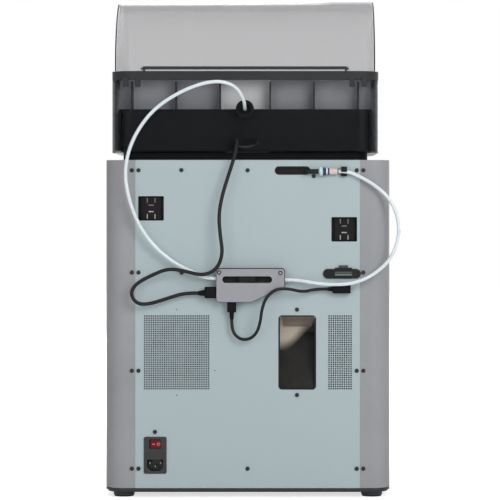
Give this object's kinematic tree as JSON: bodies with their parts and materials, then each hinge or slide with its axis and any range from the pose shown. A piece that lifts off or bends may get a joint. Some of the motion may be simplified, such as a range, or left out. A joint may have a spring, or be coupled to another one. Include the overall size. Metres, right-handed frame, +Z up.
{
  "type": "enclosed desktop filament printer with filament feeder",
  "caption": "Enclosed desktop filament printer seen from its vented rear, with a clear-lidded filament feeder on its top and white tubes and black cables between them.",
  "frame": {"origin": "on the ground, under the middle of the case", "axes": "+Z up, +Y towards the vented rear panel, -Y towards the door, +X to the right of someone at the door; metres"},
  "size_m": [0.4025, 0.4407, 0.686],
  "materials": {
    "dark_plastic": "moulded, near black",
    "pad_rubber": "soft, matt black",
    "side_grey": "moulded, satin grey",
    "rear_grey": "pale blue-grey satin paint",
    "dark_steel": "black oxide",
    "bright_steel": "ground",
    "clear_glass": "clear, polished",
    "black_gloss": "glossy black",
    "bright_metal": "machined",
    "belt_rubber": "toothed belt",
    "red_gloss": "glossy red",
    "pale_grey": "silver satin",
    "mid_grey": "satin grey",
    "dark_sheet": "dark textured paint",
    "dark_alloy": "black anodised",
    "board_green": "green board",
    "smoky_clear": "smoky, see-through",
    "roller_rubber": "satin black",
    "white_tube": "milky white",
    "black_cable": "black sheath"
  },
  "bodies": {
    "case": {"base_frame": "dark_plastic", "foot_pads": "pad_rubber", "side_panel_right": "side_grey", "side_panel_left": "side_grey", "rear_panel": "rear_grey", "vent_grilles": "rear_grey", "seam_brackets": "dark_steel", "rear_screws": "dark_steel", "top_frame": "side_grey", "top_glass": "clear_glass", "front_frame": "side_grey", "door_hinges": "bright_steel", "touch_screen": "black_gloss", "xy_motors": "dark_steel", "drive_belts": "belt_rubber", "power_inlet": "dark_plastic", "waste_chute": "dark_plastic", "tube_coupler": "black_gloss", "port_cover": "dark_plastic", "buffer_base": "dark_plastic", "buffer_cover": "pale_grey", "chamber_back": "dark_sheet", "air_filter": "dark_plastic", "power_supply": "bright_metal", "mainboard": "board_green", "fan_frame": "black_gloss", "guide_rods": "bright_steel", "feeder_plinth": "dark_plastic", "feeder_tub": "smoky_clear", "feeder_rim": "dark_plastic", "feeder_deck": "dark_plastic", "feeder_dividers": "dark_plastic", "feed_units": "dark_plastic", "lid_hinge_bar": "dark_plastic", "rear_ports": "dark_plastic", "feeder_tube": "white_tube", "printer_tube": "white_tube", "feeder_cable": "black_cable", "bus_cable": "black_cable", "feeder_cable_plugs": "dark_plastic", "bus_cable_plugs": "dark_plastic"},
    "door": {"door_glass": "clear_glass", "door_fittings": "dark_plastic"},
    "bed": {"bed_frame": "dark_alloy", "build_plate": "dark_alloy"},
    "lead_screw_right": {"lead_screw_right": "bright_steel"},
    "lead_screw_left": {"lead_screw_left": "bright_steel"},
    "gantry": {"gantry": "bright_metal"},
    "toolhead": {"toolhead": "dark_plastic"},
    "motor_pulley_right": {"motor_pulley_right": "bright_metal"},
    "motor_pulley_left": {"motor_pulley_left": "bright_metal"},
    "exhaust_rotor": {"exhaust_rotor": "black_gloss"},
    "power_rocker": {"power_rocker": "red_gloss"},
    "buffer_slider": {"buffer_slider": "mid_grey"},
    "feeder_lid": {"feeder_lid": "smoky_clear"},
    "drive_roller_1": {"drive_roller_1": "roller_rubber"},
    "drive_roller_2": {"drive_roller_2": "roller_rubber"},
    "drive_roller_3": {"drive_roller_3": "roller_rubber"},
    "drive_roller_4": {"drive_roller_4": "roller_rubber"},
    "idle_rollers": {"idle_rollers": "roller_rubber"}
  },
  "joints": [
    {"name": "door_hinge", "type": "hinge", "parent": "case", "child": "door", "pos_m": [-0.1515, -0.1978, 0.216], "axis": [0, 0, -1], "range_deg": [0, 120]},
    {"name": "bed_slide", "type": "slide", "parent": "case", "child": "bed", "axis": [0, 0, 1], "range_m": [0, 0.25]},
    {"name": "right_screw_turn", "type": "hinge", "parent": "case", "child": "lead_screw_right", "pos_m": [0.142, 0.06, 0.2], "axis": [0, 0, 1], "continuous": true},
    {"name": "left_screw_turn", "type": "hinge", "parent": "case", "child": "lead_screw_left", "pos_m": [-0.142, 0.06, 0.2], "axis": [0, 0, 1], "continuous": true},
    {"name": "gantry_slide", "type": "slide", "parent": "case", "child": "gantry", "axis": [0, 1, 0], "range_m": [-0.11, 0.1]},
    {"name": "toolhead_slide", "type": "slide", "parent": "gantry", "child": "toolhead", "axis": [1, 0, 0], "range_m": [-0.11, 0.11]},
    {"name": "right_pulley_turn", "type": "hinge", "parent": "case", "child": "motor_pulley_right", "pos_m": [0.1318, 0.16585, 0.419], "axis": [0, 0, 1], "continuous": true},
    {"name": "left_pulley_turn", "type": "hinge", "parent": "case", "child": "motor_pulley_left", "pos_m": [-0.1318, 0.16585, 0.429], "axis": [0, 0, 1], "continuous": true},
    {"name": "rotor_turn", "type": "hinge", "parent": "case", "child": "exhaust_rotor", "pos_m": [0.0969, 0.16, 0.1982], "axis": [0, 1, 0], "continuous": true},
    {"name": "rocker_tip", "type": "hinge", "parent": "case", "child": "power_rocker", "pos_m": [0.126, 0.1925, 0.0732], "axis": [0, 0, 1], "range_deg": [-18, 0]},
    {"name": "buffer_travel", "type": "slide", "parent": "case", "child": "buffer_slider", "axis": [1, 0, 0], "range_m": [-0.012, 0.012], "stiffness_N_per_m": 60},
    {"name": "lid_hinge", "type": "hinge", "parent": "case", "child": "feeder_lid", "pos_m": [0.004, 0.1718, 0.5867], "axis": [-1, 0, 0], "range_deg": [0, 75]},
    {"name": "roller_1_turn", "type": "hinge", "parent": "case", "child": "drive_roller_1", "pos_m": [-0.06085, -0.024, 0.4884], "axis": [1, 0, 0], "continuous": true},
    {"name": "roller_2_turn", "type": "hinge", "parent": "case", "child": "drive_roller_2", "pos_m": [-0.12155, -0.024, 0.4884], "axis": [1, 0, 0], "continuous": true},
    {"name": "roller_3_turn", "type": "hinge", "parent": "case", "child": "drive_roller_3", "pos_m": [0.06885, -0.024, 0.4884], "axis": [1, 0, 0], "continuous": true},
    {"name": "roller_4_turn", "type": "hinge", "parent": "case", "child": "drive_roller_4", "pos_m": [0.12955, -0.024, 0.4884], "axis": [1, 0, 0], "continuous": true},
    {"name": "idle_turn", "type": "hinge", "parent": "case", "child": "idle_rollers", "pos_m": [0.004, 0.086, 0.4884], "axis": [1, 0, 0], "continuous": true}
  ],
  "couplings": [
    {"joint": "right_screw_turn", "follows": "bed_slide", "rad_per_m": 785.4},
    {"joint": "left_screw_turn", "follows": "bed_slide", "rad_per_m": 785.4},
    {"joint": "right_pulley_turn", "follows": "gantry_slide", "rad_per_m": 166.67},
    {"joint": "left_pulley_turn", "follows": "gantry_slide", "rad_per_m": -166.67}
  ]
}
